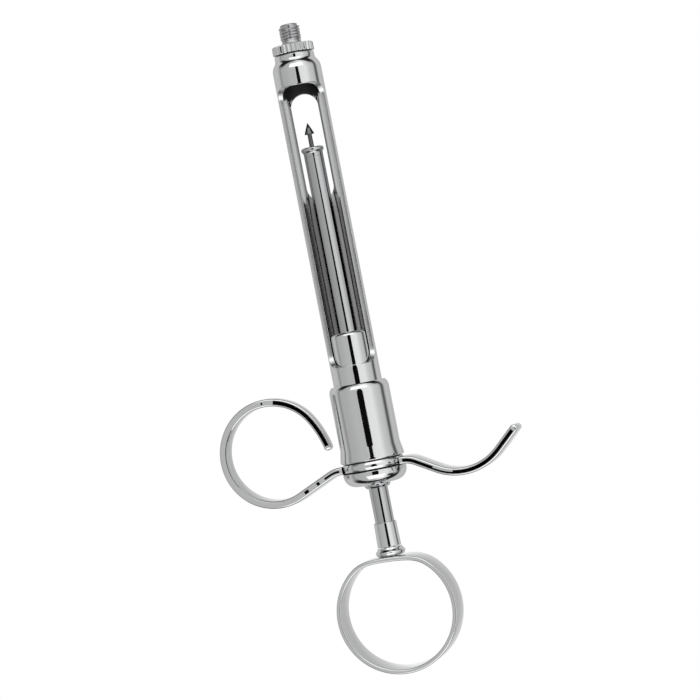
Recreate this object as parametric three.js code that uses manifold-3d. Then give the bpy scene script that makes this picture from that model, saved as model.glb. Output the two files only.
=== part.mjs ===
// Aspirating dental syringe: side-loading barrel for a glass cartridge, harpoon piston,
// spring-loaded guide bush, finger loop, finger hook and thumb ring.
//
// Units are millimetres. The syringe lies on its side: +Y points along the barrel to the
// needle end, +X to the finger hook, and +Z out of the plane of the finger grips. Stations
// along the axis are measured from the grip plane, and the finished group is moved so that
// its origin is under the middle of its box.

import * as THREE from 'three';
import { mergeVertices } from 'three/addons/utils/BufferGeometryUtils.js';
import Module from 'manifold-3d';

const wasm = await Module();
wasm.setup();

// ---------------------------------------------------------------- driving dimensions

const GAP = 0.3; // clearance left between pieces that touch
const WELD = 1e-4; // vertices closer than this are one vertex
const ROUND = 40; // facets round a large turned piece
const ROUND_SMALL = 24; // facets round a small turned piece
const DEG = Math.PI / 180;
const CHAMFER = 0.3;
const FINE_CHAMFER = 0.2;

const BARREL_R = 5.78;
const BARREL_BORE_R = 4.65;
const BARREL_REAR = 16.0;
const CHAMBER_FRONT = 93.6; // inner end of the cartridge chamber
const NOSE_R = 4.73;
const NOSE_FACE = 97.75;
const NOSE_BORE_R = 3.0;
const COVE_REAR = 94.0; // the barrel narrows to the nose in an S of two arcs from here
const COVE_CROWN_R = 3.08;
const COVE_HOLLOW_R = 1.5;
const COVE_SLOPE = 39.5 * DEG;

// The windows' turn is how far round from the grip plane's normal they face. The loading
// window is milled flat, down to the level where it is as wide inside as its half width says,
// and its floor curves up at both ends.
const LOADING_WINDOW = { rear: 23.5, front: 90.3, halfWidth: 4.36, corner: 3.3, turn: 8.3 * DEG };
const EJECTOR_WINDOW = { rear: 63.2, front: 88.7, halfWidth: 3.2, turn: 12.5 * DEG };
const WINDOW_STEPS = 14; // facets round a window's corner

const FLANGE_R = 4.92;
const FLANGE_BACK = 98.05;
const FLANGE_FRONT = 100.1;
const FLANGE_CORE_R = 4.0; // inside the knurling
const KNURL_TEETH = 28;
const KNURL_DEPTH = 0.28;
const THREAD_R = 2.46;
const THREAD_BACK = 101.15;
const THREAD_FRONT = 103.8;
const STUD_NECK_R = 2.2;
const STUD_PILOT_R = 2.05;
const STUD_END = 105.0;
const NEEDLE_HOLE_R = 0.7;
const SHANK_BACK = 94.1;

const ROD_R = 2.25;
const ROD_FRONT = 73.4;
const ROD_BACK = -18.5;
const TIP_R = 2.66;
const TIP_FRONT = 75.6;
const TIP_RIM_BACK = 74.4;
const HARPOON_POINT = 81.5;
const HARPOON_BARB = 78.7;
const HARPOON_BARB_R = 1.15;
const HARPOON_UNDERCUT = 0.25;
const HARPOON_STEM_R = 0.56;
const HARPOON_NECK = 75.0; // the shank narrows to the stem from here
const HARPOON_SHANK_R = 0.9;
const HARPOON_SHANK_BACK = 70.8;

const BUSH_R = 4.35;
const BUSH_FRONT = 31.4;
const BUSH_CHAMFER = 0.6;
const BUSH_FLANGE_R = 5.3;
const BUSH_FLANGE_FRONT = BARREL_REAR - GAP;
const BUSH_FLANGE_BACK = 14.4;
const SLIDE_BORE_R = ROD_R + GAP;

const SPRING_FRONT = BUSH_FLANGE_BACK - GAP;
const SPRING_BACK = 3.3;
const SPRING_R = 4.35;
const SPRING_WIRE_R = 0.38;
const SPRING_TURNS = 6;
const COIL_STEPS = 16; // facets along one turn of the wire

const HOUSING_R = 7.15;
const HOUSING_FRONT = 19.15;
const HOUSING_SHOULDER_R = 2.4; // rounding of the front shoulder
const HOUSING_SHOULDER_REAR = 17.45;
const HOUSING_REAR = 1.0;
const HOUSING_FLARE_R = 7.62;
const HOUSING_FLARE_REAR = 1.6; // the flare's cone widens backwards to here
const HOUSING_FLARE_FRONT = 4.2;
const HOUSING_SOCKET_R = BARREL_R + GAP;
const HOUSING_CHAMBER_R = 5.65;
const HOUSING_LEDGE = BARREL_REAR - GAP; // the barrel's rear end stops on this ledge

const HUB_R = 7.4;
const HUB_FRONT = HOUSING_REAR - GAP;
const HUB_REAR = -1.1;
const HUB_CROWN = 0.3; // how far the hub's rim is rounded back
const SPIGOT_R = 5.3;
const SPIGOT_FRONT = 1.9;
const NUT_FRONT = HUB_REAR - GAP;
const NUT_R = 7.55;
const NUT_DOME_R = 2.8;
const NUT_REAR = -4.8;

const GLAND_R = 3.1;
const GLAND_CHAMFER = 0.4;
const GLAND_FLANGE_R = 5.15;
const GLAND_FLANGE_BACK = SPIGOT_FRONT + GAP;
const GLAND_REAR = -5.75;

const ARM_Y = -0.4;
const ARM_THICK = 1.85;
const ARM_DEPTH = 6.6;
const ARM_EDGE = 0.5; // rounding of the strip's long edges
const LOOP_TAPER_START = 4.0; // how far along its strip the loop starts to thin in depth
const LOOP_TIP_DEPTH = 2.6;

// The finger strips as runs of straight strip and turns, from the hub outwards. Radii are to
// the middle of the strip.
const LOOP_LEGS = [
  { turn: 24 * DEG, radius: 6 },
  { run: 8.9 },
  { turn: -262 * DEG, radius: 12.1 },
  { turn: -18.6 * DEG, radius: 24 },
];
const HOOK_LEGS = [
  { turn: -29.5 * DEG, radius: 6 },
  { run: 5.2 },
  { turn: 72 * DEG, radius: 13 },
  { run: 6.2 },
];

const FERRULE_FRONT = -14.1;
const FERRULE_REAR = -19.85;
const FERRULE_FRONT_R = 2.66;
const FERRULE_REAR_R = 2.82;
const COLLAR_FRONT = FERRULE_REAR - GAP;
const COLLAR_REAR = -21.7;
const COLLAR_R = 3.6;
const COLLAR_NECK_R = 3.0;

const RING_R = 14.45;
const RING_WALL = 1.1;
const RING_DEPTH = 8.25;
const RING_EDGE = 0.35;
const RING_FLAT = 13.25; // distance of the pressed flat from the ring's centre
const RING_LEAN = 2 * DEG;
const RING_CENTRE = COLLAR_REAR - GAP - RING_FLAT;
const STUD_R = 1.3;
const STUD_HEAD = 0.2; // how far the stud's riveted end stands inside the ring

// ---------------------------------------------------------------- geometry helpers

// Joins shared vertices, drops the slivers left at the poles and turns the faces outwards.
function weld(geometry) {
  const bare = new THREE.BufferGeometry();
  bare.setAttribute('position', geometry.getAttribute('position').clone());
  if (geometry.index) bare.setIndex(geometry.index.clone());
  const merged = mergeVertices(bare, WELD);
  const source = merged.index.array;
  const kept = [];
  for (let i = 0; i < source.length; i += 3) {
    const [a, b, c] = [source[i], source[i + 1], source[i + 2]];
    if (a !== b && b !== c && c !== a) kept.push(a, b, c);
  }
  if (volume(merged.getAttribute('position'), kept) < 0) kept.reverse();
  merged.setIndex(kept);
  return merged;
}

function volume(position, index) {
  const [a, b, c] = [new THREE.Vector3(), new THREE.Vector3(), new THREE.Vector3()];
  let total = 0;
  for (let i = 0; i < index.length; i += 3) {
    a.fromBufferAttribute(position, index[i]);
    b.fromBufferAttribute(position, index[i + 1]);
    c.fromBufferAttribute(position, index[i + 2]);
    total += a.dot(b.cross(c)) / 6;
  }
  return total;
}

function toSolid(geometry) {
  const welded = weld(geometry);
  return new wasm.Manifold(new wasm.Mesh({
    numProp: 3,
    vertProperties: Float32Array.from(welded.getAttribute('position').array),
    triVerts: Uint32Array.from(welded.index.array),
  }));
}

function toGeometry(solid) {
  const mesh = solid.getMesh();
  const geometry = new THREE.BufferGeometry();
  geometry.setAttribute('position', new THREE.BufferAttribute(mesh.vertProperties, 3));
  geometry.setIndex(new THREE.BufferAttribute(mesh.triVerts, 1));
  return geometry;
}

// Turns a profile of [radius, station] pairs round the Y axis. A profile that doesn't start
// and end on the axis closes on itself.
function turned(profile, facets = ROUND) {
  const points = profile.map(([r, y]) => new THREE.Vector2(r, y));
  const onAxis = profile[0][0] === 0 && profile[profile.length - 1][0] === 0;
  if (!onAxis) points.push(points[0].clone());
  return new THREE.LatheGeometry(points, facets);
}

// [radius, station] points on an arc. Its angles are measured from straight outwards,
// forwards positive.
function arc([centreR, centreY], radius, from, to, steps) {
  const points = [];
  for (let i = 0; i <= steps; i += 1) {
    const a = from + ((to - from) * i) / steps;
    points.push([centreR + radius * Math.cos(a), centreY + radius * Math.sin(a)]);
  }
  return points;
}

// The cutter of the loading window: a block lying across the barrel, with its lower long
// edges rounded, that leaves a flat at the given level.
function flatCutter({ rear, front, corner, turn }, level) {
  const reach = 2 * BARREL_R;
  const side = new THREE.Shape();
  side.moveTo(rear, reach);
  side.absarc(rear + corner, level + corner, corner, 180 * DEG, 270 * DEG);
  side.absarc(front - corner, level + corner, corner, 270 * DEG, 360 * DEG);
  side.lineTo(front, reach);
  const across = { depth: 2 * reach, bevelEnabled: false, curveSegments: WINDOW_STEPS };
  const cutter = new THREE.ExtrudeGeometry(side, across);
  cutter.translate(0, 0, -reach);
  cutter.applyMatrix4(new THREE.Matrix4().set(0, 0, 1, 0, 1, 0, 0, 0, 0, 1, 0, 0, 0, 0, 0, 1));
  cutter.rotateY(turn);
  return cutter;
}

// The cutter of the ejector window: a round-ended slot, from the axis out through the back.
function slotCutter({ rear, front, halfWidth, turn }) {
  const reach = 2 * BARREL_R;
  const shape = new THREE.Shape();
  shape.absarc(0, front - halfWidth, halfWidth, 0, 180 * DEG);
  shape.absarc(0, rear + halfWidth, halfWidth, 180 * DEG, 360 * DEG);
  shape.closePath();
  const outwards = { depth: reach, bevelEnabled: false, curveSegments: WINDOW_STEPS };
  const cutter = new THREE.ExtrudeGeometry(shape, outwards);
  cutter.translate(0, 0, -reach);
  cutter.rotateY(turn);
  return cutter;
}

// The middle line of a bent strip as { at, angle, run }: runs of straight strip and turns of
// a given radius, with the run counted from its start.
function stripLine(start, heading, legs) {
  const step = 8 * DEG;
  const at = new THREE.Vector2(...start);
  let angle = heading;
  let run = 0;
  const line = [{ at: at.clone(), angle, run }];
  for (const leg of legs) {
    if (leg.run) {
      at.add(new THREE.Vector2(Math.cos(angle), Math.sin(angle)).multiplyScalar(leg.run));
      run += leg.run;
      line.push({ at: at.clone(), angle, run });
      continue;
    }
    const sign = Math.sign(leg.turn);
    const centre = at.clone().addScaledVector(sideOf(angle), leg.radius * sign);
    const count = Math.ceil(Math.abs(leg.turn) / step);
    for (let i = 0; i < count; i += 1) {
      angle += leg.turn / count;
      at.copy(centre).addScaledVector(sideOf(angle), -leg.radius * sign);
      run += (leg.radius * Math.abs(leg.turn)) / count;
      line.push({ at: at.clone(), angle, run });
    }
  }
  return line;
}

function sideOf(angle) {
  return new THREE.Vector2(-Math.sin(angle), Math.cos(angle));
}

// The outline of a strip along its middle line, from a square start to a round free end.
function stripShape(line, halfThick) {
  const left = line.map(({ at, angle }) => at.clone().addScaledVector(sideOf(angle), halfThick));
  const right = line.map(({ at, angle }) => at.clone().addScaledVector(sideOf(angle), -halfThick));
  const { at, angle } = line[line.length - 1];
  const tip = [];
  for (let i = 1; i < 6; i += 1) {
    const a = angle + (90 - i * 30) * DEG;
    tip.push(at.clone().add(new THREE.Vector2(Math.cos(a), Math.sin(a)).multiplyScalar(halfThick)));
  }
  return new THREE.Shape([...left, ...tip, ...right.reverse()]);
}

// Thins the loop's strip in depth along its middle line, evenly from where the taper starts.
function thinned(geometry, line, tipDepth) {
  const end = line[line.length - 1].run;
  const place = geometry.attributes.position;
  const spot = new THREE.Vector2();
  for (let i = 0; i < place.count; i += 1) {
    spot.set(place.getX(i), place.getY(i));
    const closer = (best, mark) => (spot.distanceTo(mark.at) < spot.distanceTo(best.at) ? mark : best);
    const near = line.reduce(closer);
    const share = Math.max(0, (near.run - LOOP_TAPER_START) / (end - LOOP_TAPER_START));
    place.setZ(i, place.getZ(i) * (1 + (tipDepth / ARM_DEPTH - 1) * share));
  }
  return geometry;
}

// Pushes an outline through the depth of a band centred on the grip plane, with its long
// edges rounded by edge.
function band(shape, depth, edge) {
  const geometry = new THREE.ExtrudeGeometry(shape, {
    depth: depth - 2 * edge,
    bevelEnabled: true,
    bevelThickness: edge,
    bevelSize: edge,
    bevelOffset: -edge,
    bevelSegments: 2,
    curveSegments: 32,
  });
  geometry.translate(0, 0, -depth / 2 + edge);
  return geometry;
}

// ---------------------------------------------------------------- finishes

const finishes = {
  chrome: new THREE.MeshStandardMaterial({ color: 0xd4d6d8, roughness: 0.07, metalness: 1 }),
  steel: new THREE.MeshStandardMaterial({ color: 0xb4b7ba, roughness: 0.2, metalness: 1 }),
  harpoon: new THREE.MeshStandardMaterial({ color: 0x6f7276, roughness: 0.28, metalness: 1 }),
  spring: new THREE.MeshStandardMaterial({ color: 0x9a9da1, roughness: 0.25, metalness: 1 }),
};

const syringe = new THREE.Group();

function add(name, geometry, finish, parent = syringe) {
  const mesh = new THREE.Mesh(weld(geometry), finishes[finish]);
  mesh.name = name;
  parent.add(mesh);
  return mesh;
}

// ---------------------------------------------------------------- needle end

function needleAdaptor() {
  const body = toSolid(turned([
    [0, SHANK_BACK],
    [NOSE_BORE_R - GAP - CHAMFER, SHANK_BACK],
    [NOSE_BORE_R - GAP, SHANK_BACK + CHAMFER],
    [NOSE_BORE_R - GAP, FLANGE_BACK],
    [FLANGE_CORE_R, FLANGE_BACK],
    [FLANGE_CORE_R, FLANGE_FRONT],
    [STUD_NECK_R, FLANGE_FRONT],
    [STUD_NECK_R, THREAD_BACK],
    [THREAD_R, THREAD_BACK + FINE_CHAMFER],
    [THREAD_R, THREAD_FRONT - CHAMFER],
    [STUD_PILOT_R, THREAD_FRONT],
    [STUD_PILOT_R, STUD_END - CHAMFER],
    [STUD_PILOT_R - CHAMFER, STUD_END],
    [0, STUD_END],
  ], ROUND_SMALL));
  const outline = [];
  for (let i = 0; i < KNURL_TEETH * 2; i += 1) {
    const r = i % 2 ? FLANGE_R - KNURL_DEPTH : FLANGE_R;
    const a = (i / (KNURL_TEETH * 2)) * 360 * DEG;
    outline.push(new THREE.Vector2(r * Math.cos(a), r * Math.sin(a)));
  }
  const flange = new THREE.ExtrudeGeometry(new THREE.Shape(outline), {
    depth: FLANGE_FRONT - FLANGE_BACK,
    bevelEnabled: false,
  });
  flange.rotateX(-90 * DEG);
  flange.translate(0, FLANGE_BACK, 0);
  const hole = new THREE.CylinderGeometry(NEEDLE_HOLE_R, NEEDLE_HOLE_R, 20, 12);
  hole.translate(0, (SHANK_BACK + STUD_END) / 2, 0);
  add('needle_adaptor', toGeometry(body.add(toSolid(flange)).subtract(toSolid(hole))), 'chrome');
}

function barrel() {
  const hollowRear = COVE_REAR + (COVE_CROWN_R + COVE_HOLLOW_R) * Math.sin(COVE_SLOPE);
  const crown = arc([BARREL_R - COVE_CROWN_R, COVE_REAR], COVE_CROWN_R, 0, COVE_SLOPE, 4);
  const hollow = arc([NOSE_R + COVE_HOLLOW_R, hollowRear], COVE_HOLLOW_R, 180 * DEG + COVE_SLOPE, 180 * DEG, 3);
  const tube = toSolid(turned([
    [BARREL_BORE_R, BARREL_REAR],
    [BARREL_R - FINE_CHAMFER, BARREL_REAR],
    [BARREL_R, BARREL_REAR + FINE_CHAMFER],
    ...crown,
    ...hollow,
    [NOSE_R, NOSE_FACE - FINE_CHAMFER],
    [NOSE_R - FINE_CHAMFER, NOSE_FACE],
    [NOSE_BORE_R, NOSE_FACE],
    [NOSE_BORE_R, CHAMBER_FRONT],
    [BARREL_BORE_R, CHAMBER_FRONT],
  ]));
  const level = Math.sqrt(BARREL_BORE_R ** 2 - LOADING_WINDOW.halfWidth ** 2);
  const loading = toSolid(flatCutter(LOADING_WINDOW, level));
  const ejector = toSolid(slotCutter(EJECTOR_WINDOW));
  add('barrel', toGeometry(tube.subtract(loading).subtract(ejector)), 'chrome');
}

// ---------------------------------------------------------------- piston

function harpoon() {
  add('harpoon', turned([
    [0, HARPOON_SHANK_BACK],
    [HARPOON_SHANK_R, HARPOON_SHANK_BACK],
    [HARPOON_SHANK_R, HARPOON_NECK],
    [HARPOON_STEM_R, HARPOON_NECK + HARPOON_SHANK_R - HARPOON_STEM_R],
    [HARPOON_STEM_R, HARPOON_BARB + HARPOON_UNDERCUT],
    [HARPOON_BARB_R, HARPOON_BARB],
    [0, HARPOON_POINT],
  ], ROUND_SMALL), 'harpoon');
}

function pistonTip() {
  add('piston_tip', turned([
    [HARPOON_SHANK_R + GAP, ROD_FRONT + GAP],
    [ROD_R, ROD_FRONT + GAP],
    [TIP_R, TIP_RIM_BACK],
    [TIP_R, TIP_FRONT - CHAMFER],
    [TIP_R - CHAMFER, TIP_FRONT],
    [HARPOON_SHANK_R + GAP, TIP_FRONT],
  ], ROUND_SMALL), 'steel');
}

function pistonRod() {
  add('piston_rod', turned([
    [0, ROD_BACK],
    [ROD_R - FINE_CHAMFER, ROD_BACK],
    [ROD_R, ROD_BACK + FINE_CHAMFER],
    [ROD_R, ROD_FRONT],
    [HARPOON_SHANK_R + GAP, ROD_FRONT],
    [HARPOON_SHANK_R + GAP, HARPOON_SHANK_BACK - GAP],
    [0, HARPOON_SHANK_BACK - GAP],
  ], ROUND_SMALL), 'steel');
}

// ---------------------------------------------------------------- guide bush and spring

function guideBush() {
  add('guide_bush', turned([
    [SLIDE_BORE_R, BUSH_FLANGE_BACK],
    [BUSH_FLANGE_R, BUSH_FLANGE_BACK],
    [BUSH_FLANGE_R, BUSH_FLANGE_FRONT],
    [BUSH_R, BUSH_FLANGE_FRONT],
    [BUSH_R, BUSH_FRONT - BUSH_CHAMFER],
    [BUSH_R - BUSH_CHAMFER, BUSH_FRONT],
    [SLIDE_BORE_R, BUSH_FRONT],
  ]), 'chrome');
}

function returnSpring() {
  class Coil extends THREE.Curve {
    getPoint(t, target = new THREE.Vector3()) {
      const a = t * SPRING_TURNS * 360 * DEG;
      const length = SPRING_FRONT - SPRING_BACK - 2 * SPRING_WIRE_R;
      const y = SPRING_BACK + SPRING_WIRE_R + t * length;
      return target.set(SPRING_R * Math.cos(a), y, SPRING_R * Math.sin(a));
    }
  }
  const wire = new THREE.Shape();
  wire.absarc(0, 0, SPRING_WIRE_R, 0, 360 * DEG);
  const coil = new THREE.ExtrudeGeometry(wire, {
    extrudePath: new Coil(),
    steps: SPRING_TURNS * COIL_STEPS,
    curveSegments: 3,
    bevelEnabled: false,
  });
  add('return_spring', coil, 'spring');
}

// ---------------------------------------------------------------- housing, grips and cap

function springHousing() {
  const slope = Math.asin((HOUSING_FRONT - HOUSING_SHOULDER_REAR) / HOUSING_SHOULDER_R);
  const centre = [HOUSING_R - HOUSING_SHOULDER_R, HOUSING_SHOULDER_REAR];
  const shoulder = arc(centre, HOUSING_SHOULDER_R, 0, slope, 4);
  add('spring_housing', turned([
    [HOUSING_CHAMBER_R, HOUSING_REAR],
    [HOUSING_FLARE_R - CHAMFER, HOUSING_REAR],
    [HOUSING_FLARE_R, HOUSING_REAR + CHAMFER],
    [HOUSING_FLARE_R, HOUSING_FLARE_REAR],
    [HOUSING_R, HOUSING_FLARE_FRONT],
    ...shoulder,
    [HOUSING_SOCKET_R, HOUSING_FRONT],
    [HOUSING_SOCKET_R, HOUSING_LEDGE],
    [HOUSING_CHAMBER_R, HOUSING_LEDGE],
  ]), 'chrome');
}

function gripHub() {
  add('grip_hub', turned([
    [SPIGOT_R + GAP, HUB_REAR],
    [HUB_R - HUB_CROWN, HUB_REAR],
    [HUB_R, HUB_REAR + HUB_CROWN],
    [HUB_R, HUB_FRONT - HUB_CROWN],
    [HUB_R - HUB_CROWN, HUB_FRONT],
    [SPIGOT_R + GAP, HUB_FRONT],
  ]), 'chrome');
}

function fingerGrips() {
  const root = HUB_R + GAP;
  const loop = stripLine([-root, ARM_Y], 180 * DEG, LOOP_LEGS);
  const hook = stripLine([root, ARM_Y], 0, HOOK_LEGS);
  const loopBand = band(stripShape(loop, ARM_THICK / 2), ARM_DEPTH, ARM_EDGE);
  const hookBand = band(stripShape(hook, ARM_THICK / 2), ARM_DEPTH, ARM_EDGE);
  add('finger_loop', thinned(loopBand, loop, LOOP_TIP_DEPTH), 'chrome');
  add('finger_hook', hookBand, 'chrome');
}

function capNut() {
  const dome = arc([NUT_R - NUT_DOME_R, NUT_REAR + NUT_DOME_R], NUT_DOME_R, -90 * DEG, 0, 6);
  add('cap_nut', turned([
    [GLAND_R + GAP, NUT_REAR],
    ...dome,
    [NUT_R, NUT_FRONT],
    [SPIGOT_R, NUT_FRONT],
    [SPIGOT_R, SPIGOT_FRONT],
    [GLAND_R + GAP, SPIGOT_FRONT],
  ]), 'chrome');
}

function rodGland() {
  add('rod_gland', turned([
    [SLIDE_BORE_R, GLAND_REAR],
    [GLAND_R - GLAND_CHAMFER, GLAND_REAR],
    [GLAND_R, GLAND_REAR + GLAND_CHAMFER],
    [GLAND_R, GLAND_FLANGE_BACK],
    [GLAND_FLANGE_R, GLAND_FLANGE_BACK],
    [GLAND_FLANGE_R, SPRING_BACK - GAP],
    [SLIDE_BORE_R, SPRING_BACK - GAP],
  ]), 'steel');
}

// ---------------------------------------------------------------- thumb ring

function ringFerrule() {
  add('ring_ferrule', turned([
    [STUD_R + GAP, FERRULE_REAR],
    [FERRULE_REAR_R, FERRULE_REAR],
    [FERRULE_FRONT_R, FERRULE_FRONT],
    [SLIDE_BORE_R, FERRULE_FRONT],
    [SLIDE_BORE_R, ROD_BACK - GAP],
    [STUD_R + GAP, ROD_BACK - GAP],
  ], ROUND_SMALL), 'chrome');
}

function ringCollar() {
  const middle = (COLLAR_FRONT + COLLAR_REAR) / 2;
  add('ring_collar', turned([
    [STUD_R + GAP, COLLAR_REAR],
    [COLLAR_R - CHAMFER, COLLAR_REAR],
    [COLLAR_R, middle - FINE_CHAMFER],
    [COLLAR_R, middle],
    [COLLAR_NECK_R, COLLAR_FRONT - FINE_CHAMFER],
    [COLLAR_NECK_R, COLLAR_FRONT],
    [STUD_R + GAP, COLLAR_FRONT],
  ], ROUND_SMALL), 'chrome');
}

function ringOutline(radius, flat, Kind) {
  const half = Math.acos(flat / radius);
  const outline = new Kind();
  outline.absarc(0, 0, radius, 90 * DEG + half, 450 * DEG - half);
  outline.closePath();
  return outline;
}

function thumbRing() {
  const outline = ringOutline(RING_R, RING_FLAT, THREE.Shape);
  outline.holes.push(ringOutline(RING_R - RING_WALL, RING_FLAT - RING_WALL, THREE.Path));
  const hoop = toSolid(band(outline, RING_DEPTH, RING_EDGE));
  const hole = new THREE.CylinderGeometry(STUD_R + GAP, STUD_R + GAP, 2, 16);
  hole.translate(0, RING_FLAT - RING_WALL / 2, 0);
  const ring = toGeometry(hoop.subtract(toSolid(hole)));
  ring.translate(0, -RING_FLAT, 0);
  ring.rotateZ(-RING_LEAN);
  ring.translate(0, RING_FLAT + RING_CENTRE, 0);
  add('thumb_ring', ring, 'chrome');
}

function ringStud() {
  const end = COLLAR_REAR - GAP - RING_WALL;
  add('ring_stud', turned([
    [0, end - STUD_HEAD],
    [STUD_R - CHAMFER, end - STUD_HEAD],
    [STUD_R, end - STUD_HEAD + CHAMFER],
    [STUD_R, ROD_BACK - 2 * GAP],
    [0, ROD_BACK - 2 * GAP],
  ], 16), 'steel');
}

// ---------------------------------------------------------------- assembly

needleAdaptor();
barrel();
harpoon();
pistonTip();
pistonRod();
guideBush();
returnSpring();
springHousing();
gripHub();
fingerGrips();
capNut();
rodGland();
ringFerrule();
ringCollar();
thumbRing();
ringStud();

// The origin goes under the middle of the box, on the lowest plane.
const box = new THREE.Box3().setFromObject(syringe);
const middle = box.getCenter(new THREE.Vector3());
syringe.position.set(-middle.x, -middle.y, -box.min.z);

export default syringe;
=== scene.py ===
# Looks for the aspirating dental syringe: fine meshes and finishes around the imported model.
#
# Lengths below are in millimetres and angles in degrees. A place on the syringe is written
# (x, station, z): x and z from its axis, and the station along it from the grip plane, with
# the needle end at the high stations. at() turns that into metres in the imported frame.

import math

import bmesh
import bpy
from mathutils import Matrix, Vector


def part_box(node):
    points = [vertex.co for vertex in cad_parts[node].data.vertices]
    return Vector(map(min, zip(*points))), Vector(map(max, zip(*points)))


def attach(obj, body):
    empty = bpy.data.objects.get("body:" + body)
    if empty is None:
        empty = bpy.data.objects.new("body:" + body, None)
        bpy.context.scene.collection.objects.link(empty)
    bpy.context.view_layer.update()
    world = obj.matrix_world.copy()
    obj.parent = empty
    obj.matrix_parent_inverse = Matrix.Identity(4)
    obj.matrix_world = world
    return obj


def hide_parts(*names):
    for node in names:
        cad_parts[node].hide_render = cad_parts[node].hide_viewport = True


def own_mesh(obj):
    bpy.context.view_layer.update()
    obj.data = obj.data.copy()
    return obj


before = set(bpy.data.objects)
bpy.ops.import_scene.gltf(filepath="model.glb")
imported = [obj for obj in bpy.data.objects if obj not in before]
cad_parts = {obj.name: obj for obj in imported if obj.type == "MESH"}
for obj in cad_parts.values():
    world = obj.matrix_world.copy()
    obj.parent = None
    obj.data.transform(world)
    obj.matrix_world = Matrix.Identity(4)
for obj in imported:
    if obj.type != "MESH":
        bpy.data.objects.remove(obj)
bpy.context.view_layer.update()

# ---------------------------------------------------------------- the frame

MM = 0.001
HOUSING_REAR = 1.0  # station of the spring housing's rear end

low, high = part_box("spring_housing")
AXIS = Vector(((low.x + high.x) / 2, low.y - HOUSING_REAR * MM, (low.z + high.z) / 2))


def at(x, station, z):
    return AXIS + Vector((x, station, z)) * MM


def rear(node):
    """Station of a CAD node's rear end."""
    return (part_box(node)[0].y - AXIS.y) / MM


def front(node):
    """Station of a CAD node's front end."""
    return (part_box(node)[1].y - AXIS.y) / MM


def radius(node):
    """Largest radius of a turned CAD node."""
    lowest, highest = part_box(node)
    return (highest.z - lowest.z) / 2 / MM


# ---------------------------------------------------------------- driving dimensions

NEAR = 0.001
FACETS = 128  # round a large turned piece
FACETS_SMALL = 80  # round a small one
ARC_STEP = 6.0  # degrees of a rounded edge between two points
BREAK = 0.12  # radius of an edge that is only broken
SOLID_GAP = 0.3  # neighbouring CAD solids of one body stand this far apart

# A window's turn is how far round from +Z it faces and "inside" is its half width at the
# bore. The loading window is milled flat, with a floor that curves up at both ends.
BARREL_TURN = 12.5
LOADING_WINDOW = {
    "rear": 23.5, "front": 90.3, "inside": 4.36, "corner": 3.3, "turn": 8.3, "flat": True, "edge": 0.12,
}
EJECTOR_WINDOW = {
    "rear": 63.2, "front": 88.7, "inside": 3.2, "corner": 3.2, "turn": 12.5, "flat": False, "edge": 0.06,
}
DARK_CHAMBER = 88.0  # painted shade in the front of the chamber starts here
BORE_R = 4.65
NOSE_BORE_R = 3.0
CHAMBER_FRONT = 93.6
CHAMBER_FILLET = 0.3
WALL_FRONT = 92.6  # the barrel's plain outside ends here
WALL_SKIN = 0.02  # a face deeper in the wall than this is a window's edge
WINDOW_SIDE_POINTS = 60  # along one side of a window
WINDOW_END_POINTS = 48  # round one end
WALL_STEPS = 9  # from a window's edge to the rim of its half of the tube
EDGE_STEPS = 5  # over a window's broken edge

NOSE_R = 4.73
COVE_REAR = 94.0  # the barrel narrows to the nose in an S of two arcs from here
COVE_CROWN_R = 3.08
COVE_HOLLOW_R = 1.5
COVE_SLOPE = 39.5

KNURL_TEETH = 28
KNURL_DEPTH = 0.3
FLANGE_REAR = 98.05
FLANGE_FRONT = 100.1
THREAD_R = 2.46
THREAD_ROOT_R = 2.24
THREAD_PITCH = 0.7
THREAD_REAR = 101.0
THREAD_FRONT = 103.9
THREAD_STEPS = 12  # points along one pitch
THREAD_POINTS = 57  # the last few pass THREAD_FRONT and make a small lip
THREAD_SLOPE = 3.8
THREAD_RUN_IN = 0.5
THREAD_RUN_OUT = 0.35
THREAD_NECK = 0.04  # how much the neck behind the thread stands over its root
SHANK_CLEARANCE = 0.3  # between the adaptor's shank and the nose's bore
PILOT_R = 2.05
NEEDLE_HOLE_R = 0.7

ROD_R = 2.28
RUNNING_R = 2.5  # bore of what slides on the rod
SHANK_R = 0.9
ROD_SOCKET_R = SHANK_R + 0.3
ROD_SOCKET_DEPTH = 2.9  # for the harpoon's shank
BARB_LENGTH = 2.8
TIP_SLEEVE_R = SHANK_R + 0.1
TIP_REACH = 0.29  # how far back the tip goes to meet the rod

BUSH_BODY_R = 4.47
SPRING_TURNS = 6
SPRING_WIRE_R = 0.38
SPRING_COIL_R = 4.35
SPRING_STEPS = 40  # along one turn
SPRING_SIDES = 12  # round the wire

HOUSING_R = 7.15
HOUSING_BORE_R = 5.65
HOUSING_FACE_R = 6.3
HOUSING_SHOULDER_R = 2.4
HOUSING_SHOULDER_REAR = 17.45
FLARE_REAR = 1.6
FLARE_FRONT = 4.2
HUB_CROWN_R = 1.7
HUB_BORE_R = 5.6
NUT_DOME_R = 2.8
NUT_BORE_R = 3.2
NUT_SOCKET_R = 5.3
GLAND_R = 3.1
GLAND_LIP = 0.8  # length of the wider part in the nut

STRIP_THICK = 1.85
STRIP_DEPTH = 6.6
STRIP_EDGE = 0.42
LOOP_TAPER_START = 4.7  # how far along its strip the loop starts to thin in depth
LOOP_TIP_DEPTH = 2.6
STRIP_Y = -0.4
STRIP_ROOT_X = 7.0
RUN_STEP = 0.4  # longest piece of a straight run
TURN_STEP = 2  # degrees of a turn between two points

# A strip's legs from its root: ("run", length, 0) or ("turn", degrees, radius).
LOOP_LEGS = [("run", 0.7, 0), ("turn", 24, 6), ("run", 8.9, 0), ("turn", -262, 12.1), ("turn", -18.6, 24)]
HOOK_LEGS = [("run", 0.7, 0), ("turn", -29.5, 6), ("run", 5.2, 0), ("turn", 72, 13), ("run", 6.2, 0)]

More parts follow.
